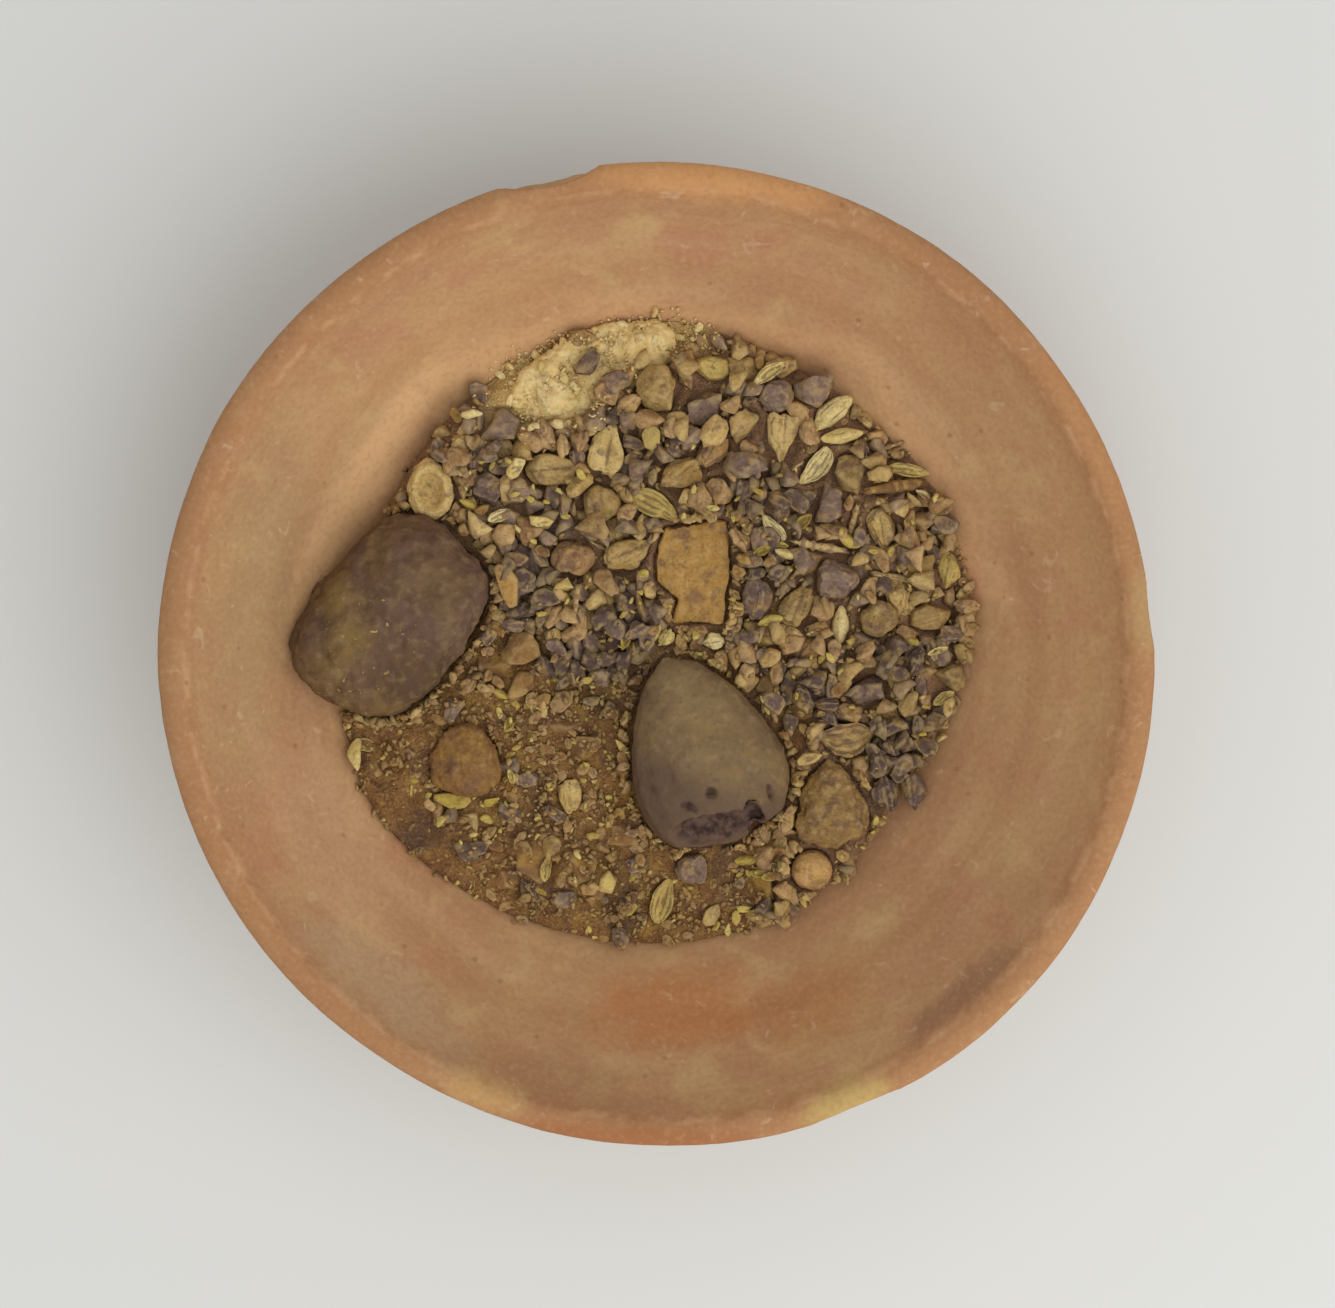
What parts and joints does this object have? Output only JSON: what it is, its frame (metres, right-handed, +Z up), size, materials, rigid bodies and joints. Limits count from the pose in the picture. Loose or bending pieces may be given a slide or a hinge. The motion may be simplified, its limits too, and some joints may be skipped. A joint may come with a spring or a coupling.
{
  "type": "dish of dried food",
  "caption": "Shallow round earthenware dish with a rounded lip and a flat foot, holding a heap of dried seeds, husks, crumbs and fruit.",
  "frame": {"origin": "middle of the foot's underside, on the surface the dish stands on", "axes": "+Z up out of the bowl, +X to the right of the picture, +Y to the top of the picture"},
  "size_m": [0.1604, 0.1593, 0.0425],
  "materials": {
    "clay": "matt, slightly worn",
    "dark_fruit": "dry, wrinkled",
    "grey_fruit": "dry, smooth skin",
    "bark": "dry, fibrous",
    "tan_fruit": "dry, rough",
    "orange_berry": "dry skin",
    "crumbs": "dry and dusty",
    "meal": "dry and dusty",
    "tan_seed": "dry skin",
    "pale_husk": "papery",
    "dark_seed": "dry skin",
    "olive_seed": "dry skin",
    "brown_seed": "dry skin",
    "straw": "fibrous"
  },
  "bodies": {
    "dish": {"dish": "clay"},
    "contents": {"crumb_lump": "crumbs", "meal_patch": "meal", "tan_shell": "tan_seed", "pale_husk_centre": "pale_husk", "tan_kernel_top": "tan_seed", "ochre_kernel": "tan_seed", "dark_berry_left": "dark_seed", "dark_chunk_left": "dark_seed", "flat_kernel": "olive_seed", "olive_berry_top": "olive_seed", "brown_berry": "brown_seed", "cream_bit": "pale_husk", "white_bit": "pale_husk", "olive_berry_crown": "olive_seed", "yellow_flake": "pale_husk", "dark_chunk_crown": "dark_seed", "dark_berry_crown": "dark_seed", "pale_husk_crown": "pale_husk", "dark_chunk_rim": "dark_seed", "tan_stick": "straw", "pale_husk_right": "pale_husk", "grey_chunk_right": "olive_seed", "olive_kernel_right": "olive_seed", "olive_chunk": "olive_seed", "pink_kernel": "brown_seed", "tan_long_kernel": "tan_seed", "round_seed": "brown_seed", "orange_straw": "straw", "bark_strip": "bark", "short_straw": "straw", "grey_kernel": "olive_seed", "purple_chunk": "dark_seed", "cream_sliver": "pale_husk", "long_straw": "straw", "grey_berry": "dark_seed", "pale_kernel_rim": "pale_husk", "fibre_twig": "straw", "olive_kernel_mid": "olive_seed", "dark_seed_mid": "dark_seed", "pale_husk_mid": "pale_husk", "olive_berry_right": "olive_seed", "tan_flake_right": "tan_seed", "tan_husk": "tan_seed", "dark_seed_low": "dark_seed", "dark_seed_rim": "dark_seed", "grey_chunk_mid": "dark_seed", "grey_chunk_rim": "olive_seed", "ochre_crumb": "crumbs", "pale_husk_left": "pale_husk", "pale_sliver_low": "pale_husk", "pale_lump_low": "tan_seed", "dark_berry_low": "dark_seed", "crumb_bed": "crumbs"},
    "fruit_left": {"fruit_left": "dark_fruit"},
    "fruit_centre": {"fruit_centre": "grey_fruit"},
    "bark_chip": {"bark_chip": "bark"},
    "broken_lump": {"broken_lump": "tan_fruit"},
    "round_berry": {"round_berry": "orange_berry"}
  },
  "joints": [
    {"name": "contents_lift", "type": "slide", "parent": "dish", "child": "contents", "axis": [0, 0, 1], "range_m": [0, 0.05]},
    {"name": "fruit_left_lift", "type": "slide", "parent": "contents", "child": "fruit_left", "axis": [0, 0, 1], "range_m": [0, 0.03]},
    {"name": "fruit_centre_lift", "type": "slide", "parent": "contents", "child": "fruit_centre", "axis": [0, 0, 1], "range_m": [0, 0.03]},
    {"name": "bark_chip_lift", "type": "slide", "parent": "contents", "child": "bark_chip", "axis": [0, 0, 1], "range_m": [0, 0.03]},
    {"name": "broken_lump_lift", "type": "slide", "parent": "contents", "child": "broken_lump", "axis": [0, 0, 1], "range_m": [0, 0.03]},
    {"name": "round_berry_lift", "type": "slide", "parent": "contents", "child": "round_berry", "axis": [0, 0, 1], "range_m": [0, 0.03]}
  ]
}
